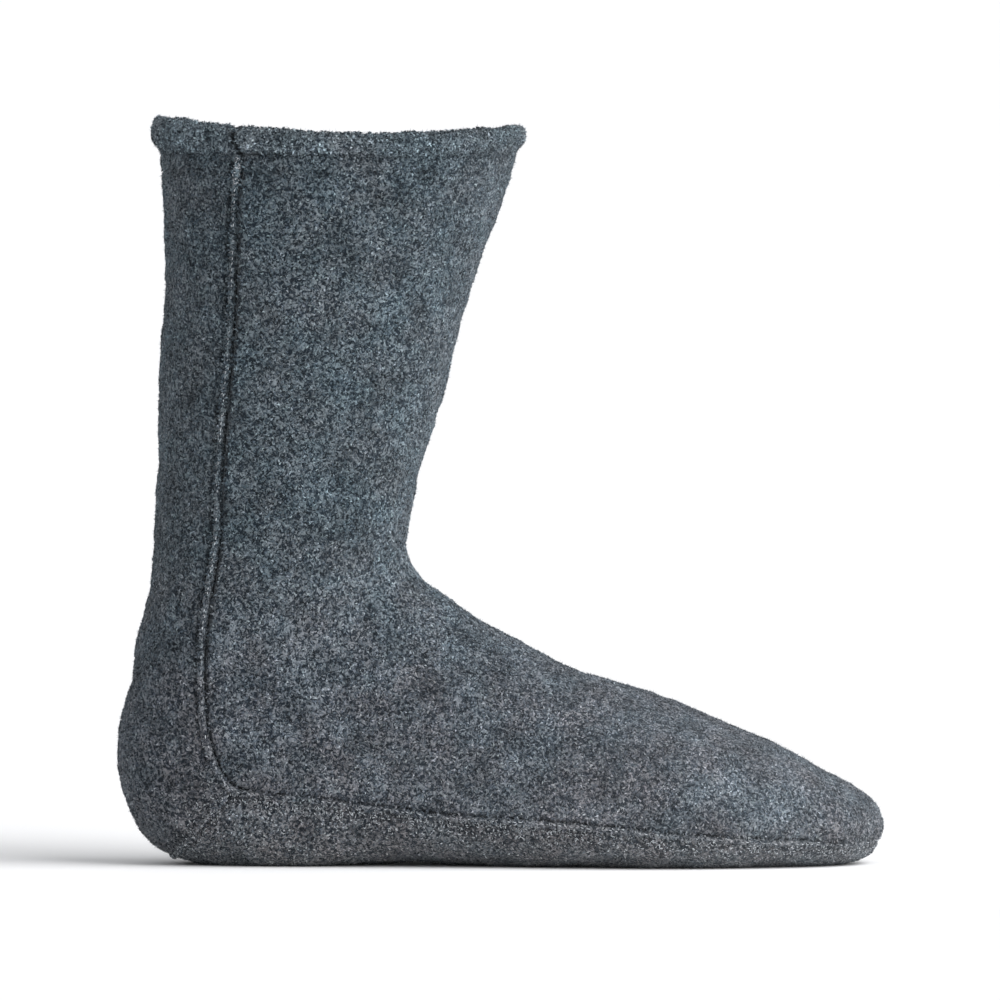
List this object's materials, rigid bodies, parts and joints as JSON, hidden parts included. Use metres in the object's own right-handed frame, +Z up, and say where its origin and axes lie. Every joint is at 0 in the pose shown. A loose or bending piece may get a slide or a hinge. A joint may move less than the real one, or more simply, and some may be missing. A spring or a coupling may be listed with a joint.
{
  "type": "slipper sock",
  "caption": "Mid-calf slipper sock of thick heathered fleece with a soft rolled collar, raised panel seams and a wrap-up sole, standing empty.",
  "frame": {"origin": "on the floor, at the middle of the heel's flat spot", "axes": "+X towards the toe, +Y to the wearer's left, +Z up along the shaft"},
  "size_m": [0.2813, 0.1102, 0.2749],
  "materials": {
    "upper_fleece": "napped heather fleece, matte",
    "sole_fleece": "napped heather fleece, matte",
    "hem_fleece": "soft turned fleece, matte",
    "seam_thread": "overlocked thread on fleece, matte"
  },
  "bodies": {
    "root": {"upper": "upper_fleece", "sole": "sole_fleece", "collar_hem": "hem_fleece", "panel_seam": "seam_thread", "heel_seam": "seam_thread"}
  },
  "joints": []
}
